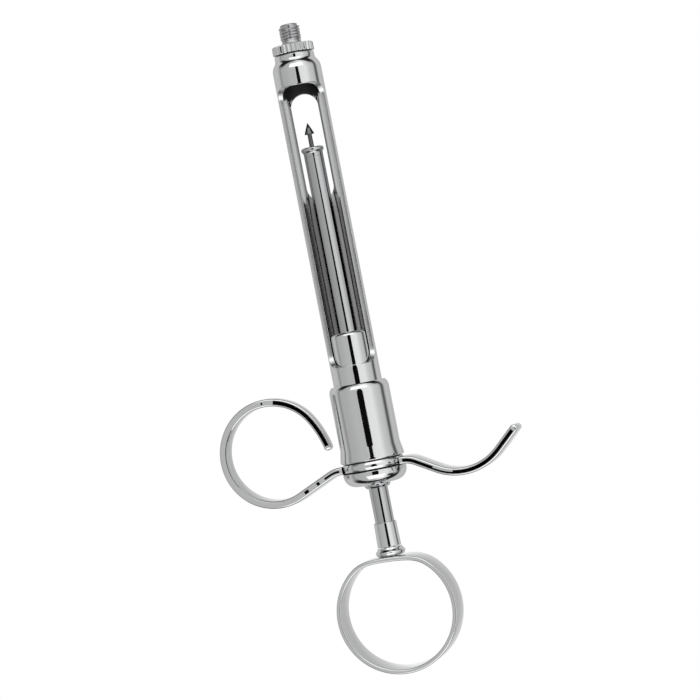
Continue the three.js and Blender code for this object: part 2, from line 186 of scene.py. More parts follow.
RING_R = 14.45
RING_WALL = 1.1
RING_DEPTH = 8.25
RING_EDGE = 0.33
RING_FLAT = 13.25
RING_LEAN = 2.0
RING_SOFT = 1.2  # how sharply the pressed flat turns into the circle
RING_EASE = 0.12  # how far the soft corners pull the flat in
RING_STEPS = 240
FERRULE_FRONT_R = 2.66
FERRULE_SOCKET_DEPTH = 4.6
STUD_R = 1.3
STUD_HOLE_R = 1.4

# ---------------------------------------------------------------- mesh helpers


def polar(length, degrees):
    angle = math.radians(degrees)
    return Vector((length * math.cos(angle), length * math.sin(angle)))


def rounded(corners):
    """A profile of (radius, station) points from corners given as (radius, station, rounding)."""
    points = []
    count = len(corners)
    for i, (r, s, fillet) in enumerate(corners):
        here = Vector((r, s))
        if fillet <= 0 or i in (0, count - 1):
            points.append(here)
            continue
        before = Vector(corners[i - 1][:2]) - here
        after = Vector(corners[i + 1][:2]) - here
        inner = before.angle(after)
        back = min(fillet / math.tan(inner / 2), 0.49 * before.length, 0.49 * after.length)
        start = here + before.normalized() * back
        end = here + after.normalized() * back
        steps = max(2, math.ceil(math.degrees(math.pi - inner) / ARC_STEP))
        towards = (before.normalized() + after.normalized()).normalized()
        centre = here + towards * (back / math.cos(inner / 2))
        sweep = (start - centre).angle_signed(end - centre)
        for k in range(steps + 1):
            spoke = start - centre
            spoke.rotate(Matrix.Rotation(-sweep * k / steps, 2))
            points.append(centre + spoke)
    return [(p.x, p.y) for p in points]


def arc(centre, size, start, end):
    """(radius, station) points on an arc. Its angles are from straight outwards, forwards positive."""
    steps = max(2, math.ceil(abs(end - start) / ARC_STEP))
    spokes = [polar(size, start + (end - start) * i / steps) for i in range(steps + 1)]
    return [(centre[0] + spoke.x, centre[1] + spoke.y) for spoke in spokes]


class Skin:
    """A closed mesh put together from grids of points, which share their edges."""

    def __init__(self):
        self.mesh = bmesh.new()

    def grid(self, rows, ring=True):
        """Adds the faces between rows of (x, station, z) points; a ring's rows close on themselves."""
        lines = [[self.mesh.verts.new(at(*p)) for p in row] for row in rows]
        width = len(rows[0])
        for a, b in zip(lines, lines[1:]):
            for j in range(width if ring else width - 1):
                k = (j + 1) % width
                self.mesh.faces.new((a[j], a[k], b[k], b[j]))

    def finish(self, name, sharp=32.0):
        """Welds the grids into one skin and returns it as an object."""
        bmesh.ops.remove_doubles(self.mesh, verts=self.mesh.verts, dist=2e-4 * MM)
        bmesh.ops.dissolve_degenerate(self.mesh, edges=self.mesh.edges, dist=1e-4 * MM)
        bmesh.ops.recalc_face_normals(self.mesh, faces=self.mesh.faces)
        data = bpy.data.meshes.new(name)
        self.mesh.to_mesh(data)
        self.mesh.free()
        data.shade_smooth()
        data.set_sharp_from_angle(angle=math.radians(sharp))
        piece = bpy.data.objects.new(name, data)
        bpy.context.collection.objects.link(piece)
        return piece


def ring_of(r, station, facets, start=0.0, shape=None):
    """One ring of a turned piece. shape changes the radius round the ring."""
    points = []
    for i in range(facets):
        degrees = start + 360.0 * i / facets
        size = shape(degrees, r, station) if shape else r
        across, up = polar(size, degrees)
        points.append((up, station, across))
    return points


def turned(name, profile, facets=FACETS, shape=None):
    """Turns a closed profile, or one that starts and ends on the axis, into a solid."""
    skin = Skin()
    closed = profile + profile[:1] if profile[0][0] > 0 else profile
    skin.grid([ring_of(r, s, facets, 0.0, shape) for r, s in closed])
    return skin.finish(name)


def stand_in(piece, node, body, finish):
    """Puts a fine piece in place of its CAD node."""
    piece.data.materials.append(finish)
    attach(piece, body)
    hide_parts(node)


def paint(piece, other, covers):
    """Gives another finish to the faces whose middle, as (radius, station), it covers."""
    piece.data.materials.append(other)
    index = len(piece.data.materials) - 1
    for face in piece.data.polygons:
        x, station, z = (face.center - AXIS) / MM
        if covers(math.hypot(x, z), station):
            face.material_index = index


# ---------------------------------------------------------------- material helpers


class Nodes:
    """Short ways to add shader nodes to one tree."""

    def __init__(self, tree):
        self.tree = tree
        tree.nodes.clear()

    def add(self, kind, **settings):
        node = self.tree.nodes.new(kind)
        for name, value in settings.items():
            setattr(node, name, value)
        return node

    def put(self, value, socket):
        """Links an output to a socket, or sets a plain value on it."""
        if isinstance(value, bpy.types.NodeSocket):
            self.tree.links.new(value, socket)
        else:
            socket.default_value = value

    def math(self, operation, *values):
        node = self.add("ShaderNodeMath", operation=operation)
        for value, socket in zip(values, node.inputs):
            self.put(value, socket)
        return node.outputs[0]

    def rise(self, value, start, end, low=0.0, high=1.0):
        """low before start, high after end, and smooth between."""
        node = self.add("ShaderNodeMapRange", interpolation_type="SMOOTHSTEP")
        for item, socket in zip((value, start, end, low, high), node.inputs):
            self.put(item, socket)
        return node.outputs[0]

    def within(self, value, start, end, soft):
        """1 between start and end, 0 outside, with soft edges."""
        up = self.rise(value, start - soft, start + soft)
        down = self.rise(value, end - soft, end + soft, 1.0, 0.0)
        return self.math("MULTIPLY", up, down)

    def blend(self, share, first, second):
        """first where share is 0, second where it is 1."""
        node = self.add("ShaderNodeMix", data_type="FLOAT")
        for item, socket in zip((share, first, second), (node.inputs[0], node.inputs[2], node.inputs[3])):
            self.put(item, socket)
        return node.outputs[0]

    def ramp(self, value, stops, start, end):
        """A level read from (position, level) stops between start and end."""
        node = self.add("ShaderNodeValToRGB")
        self.put(self.math("DIVIDE", self.math("SUBTRACT", value, start), end - start), node.inputs[0])
        elements = node.color_ramp.elements
        while len(elements) > 1:
            elements.remove(elements[-1])
        for i, (position, level) in enumerate(stops):
            place = (position - start) / (end - start)
            element = elements[0] if i == 0 else elements.new(place)
            element.position = place
            element.color = (level, level, level, 1.0)
        return node.outputs[0]

    def noise(self, vector, scale, detail=2.0, roughness=0.5):
        node = self.add("ShaderNodeTexNoise")
        self.put(vector, node.inputs["Vector"])
        node.inputs["Scale"].default_value = scale
        node.inputs["Detail"].default_value = detail
        node.inputs["Roughness"].default_value = roughness
        return node.outputs["Fac"]

    def stretched(self, vector, scale, turn=(0.0, 0.0, 0.0)):
        node = self.add("ShaderNodeMapping")
        self.put(vector, node.inputs["Vector"])
        node.inputs["Rotation"].default_value = [math.radians(a) for a in turn]
        node.inputs["Scale"].default_value = scale
        return node.outputs[0]


# ---------------------------------------------------------------- camera and studio

VIEW_DISTANCE = 620.0
VIEW_WIDTH = 164.5  # what the frame takes in at the axis
VIEW_TURN = 14.0  # the camera stands this far to the hook's side
VIEW_ROLL = 11.0
VIEW_STATION = 27.14
VIEW_SIDE = -0.33
SENSOR = 36.0


def camera():
    turn = math.radians(VIEW_TURN)
    roll = math.radians(VIEW_ROLL)
    back = Vector((math.sin(turn), 0.0, math.cos(turn)))
    side = Vector((math.cos(turn), 0.0, -math.sin(turn)))
    along = Vector((0.0, 1.0, 0.0))
    right = side * math.cos(roll) - along * math.sin(roll)
    up = along * math.cos(roll) + side * math.sin(roll)
    data = bpy.data.cameras.new("camera")
    data.sensor_width = SENSOR
    data.lens = SENSOR * VIEW_DISTANCE / VIEW_WIDTH
    data.clip_start = 0.01
    eye = bpy.data.objects.new("camera", data)
    bpy.context.collection.objects.link(eye)
    place = Matrix((right, up, back)).transposed().to_4x4()
    place.translation = at(0, VIEW_STATION, 0) + side * VIEW_SIDE * MM + back * VIEW_DISTANCE * MM
    eye.matrix_world = place
    bpy.context.scene.camera = eye


# Light levels of the tent round the syringe. "Across" is the angle from straight overhead,
# leftwards and rightwards, "along" is the angle towards the needle end, and "down" is the angle
# from straight overhead to any side. Across, the left panel is grey and the right one fades.
TENT = [
    (-100, 0.5), (-60, 0.53), (-30, 0.6), (-18, 0.58),
    (16, 0.98), (42, 1.0), (58, 0.76), (76, 0.66), (100, 0.6),
]
GROUND = [(97, 0.6), (125, 0.66), (150, 0.54), (165, 0.7), (180, 1.0)]  # by "down"
GROUND_EDGE = (95, 101)
LIGHT = {"half": 36.0, "ends": (22, 54), "level": 1.5}
PATCH = {"across": (50, 78), "along": (-46, -30), "level": 0.03}
SLOT = {"half": 11.8, "narrow": 0.6, "narrows": (0, 8), "end": 20.0, "level": 0.004}

# Dark bands near the horizon as (from, to, softness, share of the light they take).
BAND_LEFT = (83, 91, 5, 0.35)
BAND_RIGHT = (88, 105, 8, 0.82)
BAND_ENDS = (76, 105, 4, 0.97)
BAND_CHANGE = (-20, 20)  # across, from the left band to the right one
BAND_ENDS_FROM = (20, 45)  # along, from the sides' bands to the one at the ends

FLOOR_SIZE = 6.0  # metres
FLOOR_DEPTH = 16.0  # how far under the axis it lies, which clears the thumb ring turned on edge

# Black cards over the finger strips, as (from, to, aside, half width, height): lengths along
# the strip, and the height over its near face.
LOOP_FLAGS = [
    (0.5, 4.9, 0.0, 0.5, 3.0),
    (6.2, 7.5, 0.0, 0.75, 3.0),
    (9.6, 11.0, 0.0, 0.75, 3.0),
    (16.0, 45.0, -1.9, 0.5, 1.0),
    (54.6, 55.6, 0.0, 0.6, 3.0),
    (57.4, 75.6, 0.0, 0.95, 3.0),
]
HOOK_FLAGS = [
    (0.5, 8.4, -0.1, 0.75, 3.0),
    (8.0, 13.3, -0.4, 0.45, 3.0),
    (12.9, 31.5, 0.0, 0.85, 3.0),
]
CARD_OVERHANG = 0.6  # how far past a strip's line its last card may reach


def studio():
    scene = bpy.context.scene
    scene.view_settings.view_transform = "Standard"
    world = bpy.data.worlds.new("studio")
    scene.world = world
    world.use_nodes = True
    n = Nodes(world.node_tree)
    coord = n.add("ShaderNodeTexCoord")
    turn = n.add("ShaderNodeVectorRotate", rotation_type="Y_AXIS")
    n.put(coord.outputs["Generated"], turn.inputs["Vector"])
    turn.inputs["Angle"].default_value = -math.radians(VIEW_TURN)
    split = n.add("ShaderNodeSeparateXYZ")
    n.put(turn.outputs[0], split.inputs[0])
    x, y, z = split.outputs
    across = n.math("DEGREES", n.math("ARCTAN2", x, z))
    along = n.math("DEGREES", n.math("ARCSINE", y))
    down = n.math("DEGREES", n.math("ARCCOSINE", z))
    ends = n.math("ABSOLUTE", along)

    roof = n.ramp(across, TENT, TENT[0][0], TENT[-1][0])
    lamp_across = n.within(across, -LIGHT["half"], LIGHT["half"], 3)
    lamp = n.math("MULTIPLY", lamp_across, n.within(ends, *LIGHT["ends"], 4))
    level = n.blend(lamp, roof, LIGHT["level"])
    patch_across = n.within(across, *PATCH["across"], 4)
    patch = n.math("MULTIPLY", patch_across, n.within(along, *PATCH["along"], 4))
    level = n.blend(patch, level, PATCH["level"])
    half = n.rise(along, *SLOT["narrows"], SLOT["half"], SLOT["half"] * SLOT["narrow"])
    slot = n.math("LESS_THAN", n.math("ABSOLUTE", across), half)
    slot = n.math("MULTIPLY", slot, n.within(ends, -90, SLOT["end"], 1))
    level = n.blend(slot, level, SLOT["level"])

    ground = n.ramp(down, GROUND, GROUND[0][0], GROUND[-1][0])
    level = n.blend(n.rise(down, *GROUND_EDGE), level, ground)
    left, right, at_ends = (
        n.math("MULTIPLY", n.within(down, start, end, soft), share)
        for start, end, soft, share in (BAND_LEFT, BAND_RIGHT, BAND_ENDS)
    )
    towards_ends = n.rise(ends, *BAND_ENDS_FROM)
    sides = n.blend(n.rise(across, *BAND_CHANGE), left, right)
    band = n.blend(towards_ends, sides, at_ends)
    level = n.math("MULTIPLY", level, n.math("SUBTRACT", 1.0, band))

    seen = n.add("ShaderNodeLightPath").outputs["Is Camera Ray"]
    back = n.add("ShaderNodeBackground")
    n.put(n.blend(seen, level, 1.0), back.inputs["Color"])
    out = n.add("ShaderNodeOutputWorld")
    n.put(back.outputs[0], out.inputs["Surface"])


def floor():
    """A plain white floor under the syringe, lit so evenly that no shadow shows."""
    bpy.ops.mesh.primitive_plane_add(size=FLOOR_SIZE, location=at(0, 0, -FLOOR_DEPTH))
    plane = bpy.context.object
    plane.name = "floor"
    plane.visible_glossy = False
    plane.visible_diffuse = False
    white = bpy.data.materials.new("floor_white")
    white.use_nodes = True
    n = Nodes(white.node_tree)
    glow = n.add("ShaderNodeEmission")
    glow.inputs["Color"].default_value = (1.0, 1.0, 1.0, 1.0)
    out = n.add("ShaderNodeOutputMaterial")
    n.put(glow.outputs[0], out.inputs["Surface"])
    plane.data.materials.append(white)


def hide(card, black):
    """A card that only reflections show."""
    card.data.materials.append(black)
    card.visible_camera = False
    card.visible_diffuse = False
    card.visible_shadow = False


def blackness(name):
    black = bpy.data.materials.new(name)
    black.use_nodes = True
    n = Nodes(black.node_tree)
    glow = n.add("ShaderNodeEmission")
    glow.inputs["Strength"].default_value = 0.0
    n.put(glow.outputs[0], n.add("ShaderNodeOutputMaterial").inputs["Surface"])
    return black


def flags(name, line, cards, tip_depth=STRIP_DEPTH):
    """Black cards over a strip that only reflections in its near face show."""
    skin = Skin()
    length = strip_runs(line)[-1]
    for start, end, aside, half, height in cards:
        rows = []
        tip, last = line[-1]
        path = [*line, (tip + polar(CARD_OVERHANG, last), last)]
        for (spot, heading), run in zip(path, strip_runs(path)):
            if start <= run <= end:
                top = strip_depth(run, length, tip_depth) / 2 + height
                slope = math.tan(math.radians(VIEW_TURN)) - spot.x / VIEW_DISTANCE
                lean = Vector((-slope, (spot.y - VIEW_STATION) / VIEW_DISTANCE)) * height
                sides = [spot + lean + polar(aside + side, heading + 90) for side in (-half, half)]
                rows.append([(p.x, p.y, top) for p in sides])
        skin.grid(rows, ring=False)
    hide(skin.finish(name), blackness(name + "_black"))


# ---------------------------------------------------------------- finishes

CHROME = (0.74, 0.745, 0.75, 1.0)
ALONG = (300.0, 4000.0, 300.0)  # polished lengthways
GROUND_ALONG = (300.0, 9000.0, 300.0)
COARSE_ALONG = (500.0, 12000.0, 500.0)
EVEN = (900.0, 900.0, 900.0)

# name: (slot, colour, least and most roughness, grain scale, grain strength, scratch strength)
FINISHES = {
    "polished_chrome": ("polished_chrome", CHROME, 0.035, 0.09, ALONG, 0.12, 0.35),
    "ground_steel": ("ground_steel", (0.55, 0.555, 0.56, 1.0), 0.05, 0.1, GROUND_ALONG, 1.0, 0.6),
    "harpoon_steel": ("harpoon_steel", (0.16, 0.165, 0.17, 1.0), 0.18, 0.3, COARSE_ALONG, 1.0, 0.6),
    "milled_chrome": ("polished_chrome", CHROME, 0.24, 0.3, EVEN, 0.5, 0.3),
    # Darker chrome: painted shade on the closed bore rearward of the ejector window.
    "bore_painted_shade": ("polished_chrome", (0.5, 0.5, 0.505, 1.0), 0.08, 0.14, ALONG, 0.3, 0.35),
    # Darker, rougher chrome: on the thread, and as painted shade on the adaptor's shank and the back of its
    # flange.
    "thread_chrome_and_seam_shade": ("polished_chrome", (0.5, 0.5, 0.51, 1.0), 0.22, 0.35, EVEN, 0.8, 0.3),
    # Near-black chrome: painted shade in the seams between parts and in the front of the chamber's bore.
    "seam_painted_shade": ("polished_chrome", (0.07, 0.07, 0.07, 1.0), 0.5, 0.7, EVEN, 0.5, 0.0),
    "spring_steel": ("spring_steel", (0.45, 0.45, 0.46, 1.0), 0.15, 0.3, EVEN, 0.5, 0.5),
}


def finishes():
    """All finishes, by name."""
    return {name: metal(name, *look) for name, look in FINISHES.items()}


def metal(name, slot, colour, smooth, rough, grain, grain_strength, scratch_strength):
    """A metal with roughness that varies a little, a directional grain and fine scratches."""
    finish = bpy.data.materials.new(name)
    finish["slot"] = slot
    finish.use_nodes = True
    n = Nodes(finish.node_tree)
    shader = n.add("ShaderNodeBsdfPrincipled")
    place = n.add("ShaderNodeTexCoord").outputs["Object"]
    haze = n.noise(place, 140.0, 4.0, 0.6)
    n.put(n.rise(haze, 0.35, 0.75, smooth, rough), shader.inputs["Roughness"])
    shader.inputs["Base Color"].default_value = colour
    shader.inputs["Metallic"].default_value = 1.0
    lines = n.noise(n.stretched(place, grain), 1.0, 3.0, 0.7)
    hair = n.noise(n.stretched(place, (9000.0, 500.0, 9000.0), (8.0, 5.0, 23.0)), 1.0, 1.0, 0.5)
    nick = n.rise(hair, 0.70, 0.74)
    ridges = n.math("MULTIPLY", lines, grain_strength)
    nicks = n.math("MULTIPLY", nick, -scratch_strength)
    height = n.math("ADD", ridges, nicks)
    bump = n.add("ShaderNodeBump")
    bump.inputs["Strength"].default_value = 1.0
    bump.inputs["Distance"].default_value = 1e-6
    n.put(height, bump.inputs["Height"])
    n.put(bump.outputs[0], shader.inputs["Normal"])
    out = n.add("ShaderNodeOutputMaterial")
    n.put(shader.outputs[0], out.inputs["Surface"])
    return finish


# ---------------------------------------------------------------- needle end


def needle_adaptor(metals):
    shank_rear, end = rear("needle_adaptor"), front("needle_adaptor")
    flange_r = radius("needle_adaptor")
    shank_r = NOSE_BORE_R - SHANK_CLEARANCE
    neck_r = THREAD_ROOT_R + THREAD_NECK
    threads = [(THREAD_R, THREAD_REAR + i * THREAD_PITCH / THREAD_STEPS, 0) for i in range(THREAD_POINTS)]

    def shape(degrees, r, station):
        if FLANGE_REAR < station < FLANGE_FRONT and r > flange_r - 0.5:
            return r - KNURL_DEPTH * math.sin(math.radians(KNURL_TEETH / 2 * degrees)) ** 2
        if THREAD_REAR - NEAR < station < THREAD_FRONT + NEAR and abs(r - THREAD_R) < NEAR:
            turn = (station / THREAD_PITCH - degrees / 360) % 1
            crest = max(0.0, min(1.0, THREAD_SLOPE / 2 - THREAD_SLOPE * abs(turn - 0.5)))
            run_in = (station - THREAD_REAR) / THREAD_RUN_IN
            run_out = (THREAD_FRONT - station) / THREAD_RUN_OUT
            fade = max(0.0, min(1.0, run_in, run_out))
            return THREAD_ROOT_R + (THREAD_R - THREAD_ROOT_R) * crest * fade
        return r

    profile = rounded([
        (NEEDLE_HOLE_R, shank_rear, 0),
        (shank_r, shank_rear, BREAK),
        (shank_r, FLANGE_REAR, 0),
        (flange_r, FLANGE_REAR, 0.25),
        (flange_r, FLANGE_FRONT, 0.3),
        (neck_r, FLANGE_FRONT, 0.12),
        (neck_r, THREAD_REAR - 0.1, 0),
        *threads,
        (PILOT_R, THREAD_FRONT + 0.15, 0.05),
        (PILOT_R, end, 0.3),
        (NEEDLE_HOLE_R, end, 0.1),
        (NEEDLE_HOLE_R, end - 1.0, 0),
    ])
    piece = turned("needle_adaptor_fine", profile, KNURL_TEETH * 12, shape)
    stand_in(piece, "needle_adaptor", "adaptor", metals["polished_chrome"])
    thread_and_seam_shade = metals["thread_chrome_and_seam_shade"]
    # Painted shade: darker, rougher chrome on the shank and the back of the flange, where they sit against
    # the nose.
    paint(piece, thread_and_seam_shade, lambda r, station: r < NOSE_R - 0.2 and station < FLANGE_REAR + NEAR)
    # The thread gets the same darker, rougher chrome.
    paint(piece, thread_and_seam_shade, lambda r, station: r < THREAD_R + NEAR and station > FLANGE_FRONT)


def window_reach(window, r, half, degrees):
    """How far (across, past the straight side) the edge of a window's end is."""
    x = half * math.cos(math.radians(degrees))
    if not window["flat"]:
        return Vector((x, math.sqrt(max(0.0, half ** 2 - x ** 2))))
    corner = window["corner"]
    top = math.sqrt(r ** 2 - half ** 2) + corner
    return Vector((x, math.sqrt(max(0.0, corner ** 2 - (top - math.sqrt(r ** 2 - x ** 2)) ** 2))))


def window_outline(window, r, half):
    """Points (x, station, outward x, outward station) round a window, from its right rear corner."""
    corner = window["corner"]
    low, high = window["rear"] + corner, window["front"] - corner
    step = 180 / WINDOW_END_POINTS
    points = []
    for side, start, end in ((1, low, high), (-1, high, low)):
        for i in range(WINDOW_SIDE_POINTS):
            points.append((side * half, start + (end - start) * i / WINDOW_SIDE_POINTS, side, 0.0))
        for i in range(WINDOW_END_POINTS):
            here = window_reach(window, r, half, step * i) * side
            before = window_reach(window, r, half, step * max(0.0, i - 0.5))
            along = window_reach(window, r, half, step * (i + 0.5)) - before
            out = Vector((along.y, -along.x)).normalized() * side
            points.append((here.x, end + here.y, out.x, out.y))
    return points


def panel_rim(low_end, high_end):
    """The rim of half a tube as (degrees round it, station), point for point with window_outline."""
    side, end = WINDOW_SIDE_POINTS, WINDOW_END_POINTS
    upper = [(90.0, low_end + (high_end - low_end) * i / side) for i in range(side)]
    upper += [(90.0 - 180.0 * i / end, high_end) for i in range(end)]
    return upper + [(-degrees, low_end + high_end - station) for degrees, station in upper]


def on_tube(r, degrees, station, back):
    """A point at a radius of the barrel. back is 180 on the half with the rear window."""
    up, across = polar(r, degrees + BARREL_TURN + back)
    return (across, station, up)


def window_wall(window, r, half, ends, back):
    """Rows over half the tube, from near the window's edge to the half's rim."""
    aside = window["turn"] - BARREL_TURN
    outline = window_outline(window, r, half)
    rows = [[] for _ in range(WALL_STEPS + 1)]
    for (x, s, out_x, out_s), (rim_degrees, rim_s) in zip(outline, panel_rim(*ends)):
        degrees = aside + math.degrees(math.asin(x / r) + out_x * window["edge"] / r)
        s += out_s * window["edge"]
        for k, row in enumerate(rows):
            t = k / WALL_STEPS
            row.append(on_tube(r, degrees + (rim_degrees - degrees) * t, s + (rim_s - s) * t, back))
    return rows


def window_corners(window, r, half, back):
    """The window's sharp outline at a radius."""
    aside = window["turn"] - BARREL_TURN
    outline = window_outline(window, r, half)
    return [Vector(on_tube(r, aside + math.degrees(math.asin(x / r)), s, back)) for x, s, _, _ in outline]


def window_edge(window, starts, corners, opposites):
    """Rows that bend from the wall round the sharp outline into the window's side."""
    rows = [[] for _ in range(EDGE_STEPS + 1)]
    for start, corner, opposite in zip(starts, corners, opposites):
        end = corner + (opposite - corner).normalized() * window["edge"]
        for k, row in enumerate(rows):
            t = k / EDGE_STEPS
            row.append(tuple(Vector(start) * (1 - t) ** 2 + corner * 2 * t * (1 - t) + end * t * t))
    return rows


def half_tube(skin, window, back, outer_ends, inner_ends):
    """Half the tube with its window: the outside, the bore, and the edges between them."""
    tube_r, inside = radius("barrel"), window["inside"]
    level = math.sqrt(BORE_R ** 2 - inside ** 2)
    outside = math.sqrt(tube_r ** 2 - level ** 2) if window["flat"] else inside
    outer = window_wall(window, tube_r, outside, outer_ends, back)
    inner = window_wall(window, BORE_R, inside, inner_ends, back)
    above = window_corners(window, tube_r, outside, back)
    below = window_corners(window, BORE_R, inside, back)
    skin.grid(outer)
    skin.grid(inner)
    edge = window_edge(window, outer[0], above, below)
    skin.grid(edge + window_edge(window, inner[0], below, above)[::-1])


def barrel(metals):
    tube_r, rear_end, nose_face = radius("barrel"), rear("barrel"), front("barrel")
    outer_ends = (rear_end + BREAK, WALL_FRONT)
    inner_ends = (rear_end + BREAK, CHAMBER_FRONT - CHAMBER_FILLET)
    skin = Skin()
    for window, back in ((LOADING_WINDOW, 0), (EJECTOR_WINDOW, 180)):
        half_tube(skin, window, back, outer_ends, inner_ends)

    cove_front = COVE_REAR + (COVE_CROWN_R + COVE_HOLLOW_R) * math.sin(math.radians(COVE_SLOPE))
    nose = [(tube_r, outer_ends[1])]
    nose += arc((tube_r - COVE_CROWN_R, COVE_REAR), COVE_CROWN_R, 0, COVE_SLOPE)
    nose += arc((NOSE_R + COVE_HOLLOW_R, cove_front), COVE_HOLLOW_R, 180 + COVE_SLOPE, 180)
    nose += rounded([
        (NOSE_R, nose_face - 0.5, 0),
        (NOSE_R, nose_face, 0.2),
        (NOSE_BORE_R, nose_face, BREAK),
        (NOSE_BORE_R, CHAMBER_FRONT, BREAK),
        (BORE_R, CHAMBER_FRONT, CHAMBER_FILLET),
        (BORE_R, inner_ends[1], 0),
    ])
    tail = rounded([
        (BORE_R, inner_ends[0], 0),
        (BORE_R, rear_end, BREAK),
        (tube_r, rear_end, BREAK),
        (tube_r, outer_ends[0], 0),
    ])
    for profile in (nose, tail):
        skin.grid([ring_of(r, s, 2 * WINDOW_END_POINTS, BARREL_TURN + 90) for r, s in profile])
    piece = skin.finish("barrel_fine")
    stand_in(piece, "barrel", "syringe_body", metals["polished_chrome"])

    def on_window_edge(r, station):
        in_wall = BORE_R + WALL_SKIN < r < tube_r - WALL_SKIN
        return in_wall and rear_end + 1 < station < outer_ends[1]

    bore = BORE_R + NEAR
    # Painted shade: darker chrome on the bore rearward of the ejector window.
    paint(piece, metals["bore_painted_shade"], lambda r, station: r < bore and station < EJECTOR_WINDOW["rear"])
    # Painted shade: near-black in the front of the chamber and in the nose's bore.
    paint(piece, metals["seam_painted_shade"], lambda r, station: r < bore and station > DARK_CHAMBER)
    paint(piece, metals["milled_chrome"], on_window_edge)


# ---------------------------------------------------------------- piston


def harpoon(metals):
    point, back = front("harpoon"), rear("harpoon")
    barb = point - BARB_LENGTH
    barb_r = radius("harpoon")
    seat = front("piston_tip")
    profile = rounded([
        (0, back, 0),
        (SHANK_R, back, 0.15),
        (SHANK_R, seat - 0.6, 0.1),
        (0.56, seat - 0.15, 0.15),
        (0.5, barb + 0.35, 0.1),
        (barb_r - 0.06, barb, 0.03),
        (barb_r, barb + 0.12, 0.05),
        (0.62, barb + 1.45, 1.0),
        (0, point, 0),
    ])
    piece = turned("harpoon_fine", profile, FACETS_SMALL)
    stand_in(piece, "harpoon", "piston", metals["harpoon_steel"])


def piston_tip(metals):
    back, face = rear("piston_tip"), front("piston_tip")
    rim = radius("piston_tip")
    profile = rounded([
        (TIP_SLEEVE_R, back - TIP_REACH, 0),
        (ROD_R, back - TIP_REACH, 0),
        (ROD_R, face - 1.3, 1.2),
        (rim, face - 0.85, 0.3),
        (rim, face, 0.42),
        (1.35, face, 0.1),
        (1.1, face - 0.25, 0.1),
        (TIP_SLEEVE_R, face - 0.25, 0),
    ])
    piece = turned("piston_tip_fine", profile, FACETS_SMALL)
    stand_in(piece, "piston_tip", "piston", metals["ground_steel"])


def piston_rod(metals):
    back, face = rear("piston_rod"), front("piston_rod")
    profile = rounded([
        (0, back, 0),
        (ROD_R, back, 0.2),
        (ROD_R, face, 0.05),
        (ROD_SOCKET_R, face, 0.05),
        (ROD_SOCKET_R, face - ROD_SOCKET_DEPTH, 0),
        (0, face - ROD_SOCKET_DEPTH, 0),
    ])
    piece = turned("piston_rod_fine", profile, FACETS_SMALL)
    stand_in(piece, "piston_rod", "piston", metals["ground_steel"])


# ---------------------------------------------------------------- guide bush and spring


def guide_bush(metals):
    back, face = rear("guide_bush"), front("guide_bush")
    flange_r = radius("guide_bush")
    flange_front = rear("barrel") - SOLID_GAP
    profile = rounded([
        (RUNNING_R, back, BREAK),
        (flange_r, back, BREAK),
        (flange_r, flange_front, BREAK),
        (BUSH_BODY_R, flange_front, 0.15),
        (BUSH_BODY_R, face, 0.9),
        (RUNNING_R, face, 0.15),
        (RUNNING_R, face - 1.0, 0),
    ])
    piece = turned("guide_bush_fine", profile)
    stand_in(piece, "guide_bush", "bush", metals["polished_chrome"])


def return_spring(metals):
    start, end = rear("return_spring") + SPRING_WIRE_R, front("return_spring") - SPRING_WIRE_R
    rows = []
    count = SPRING_TURNS * SPRING_STEPS
    for i in range(count + 1):
        t = i / count
        lead = t - 0.5 * math.sin(2 * math.pi * t) / (2 * math.pi)  # closer coils at the ends
        station = start + (end - start) * lead
        turn = 360.0 * SPRING_TURNS * t
        row = []
        for k in range(SPRING_SIDES):
            out, up = polar(SPRING_WIRE_R, 360.0 * k / SPRING_SIDES)
            x, z = polar(SPRING_COIL_R + out, turn)
            row.append((x, station + up, z))
        rows.append(row)
    skin = Skin()
    for tip in (rows[0], rows[-1]):
        middle = tuple(sum(p[a] for p in tip) / SPRING_SIDES for a in range(3))
        skin.grid([[middle] * SPRING_SIDES, tip])
    skin.grid(rows)
    coil = skin.finish("return_spring_fine")
    stand_in(coil, "return_spring", "syringe_body", metals["spring_steel"])
    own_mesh(coil)


# ---------------------------------------------------------------- housing, grips and cap


def spring_housing(metals):
    back, face = rear("spring_housing"), front("spring_housing")
    flare_r = radius("spring_housing")
    socket_r = radius("barrel") + 0.06
    ledge = rear("barrel") - SOLID_GAP
    slope = math.degrees(math.asin((face - HOUSING_SHOULDER_REAR) / HOUSING_SHOULDER_R))
    profile = rounded([
        (HOUSING_BORE_R, back, BREAK),
        (flare_r, back, 0.3),
        (flare_r, FLARE_REAR, 0.8),
        (HOUSING_R, FLARE_FRONT, 2.5),
        (HOUSING_R, HOUSING_SHOULDER_REAR - 1, 0),
    ])
    profile += arc((HOUSING_R - HOUSING_SHOULDER_R, HOUSING_SHOULDER_REAR), HOUSING_SHOULDER_R, 0, slope)
    profile += rounded([
        (HOUSING_FACE_R, face, 0),
        (socket_r, face, 0.1),
        (socket_r, ledge, 0),
        (HOUSING_BORE_R, ledge, 0),
    ])
    piece = turned("spring_housing_fine", profile)
    stand_in(piece, "spring_housing", "syringe_body", metals["polished_chrome"])

    def in_seam(r, station):
        in_socket = r < socket_r + 0.15 and station > ledge
        return in_socket or (station < back + NEAR and r < flare_r - 0.3)

    # Painted shade: near-black in the socket for the barrel and on the rear face.
    paint(piece, metals["seam_painted_shade"], in_seam)


def grip_hub(metals):
    back, face = rear("grip_hub"), front("grip_hub")
    outer = radius("grip_hub")
    middle, half = (back + face) / 2, (face - back) / 2
    slope = math.degrees(math.asin(half / HUB_CROWN_R))
    crown = arc((outer - HUB_CROWN_R, middle), HUB_CROWN_R, -slope, slope)
    profile = [(HUB_BORE_R, back), *crown, (HUB_BORE_R, face)]
    piece = turned("grip_hub_fine", profile)
    stand_in(piece, "grip_hub", "syringe_body", metals["polished_chrome"])
    # Painted shade: near-black on the hub's side faces, where it meets its neighbours.
    paint(piece, metals["seam_painted_shade"], lambda r, station: r < crown[0][0] - NEAR)


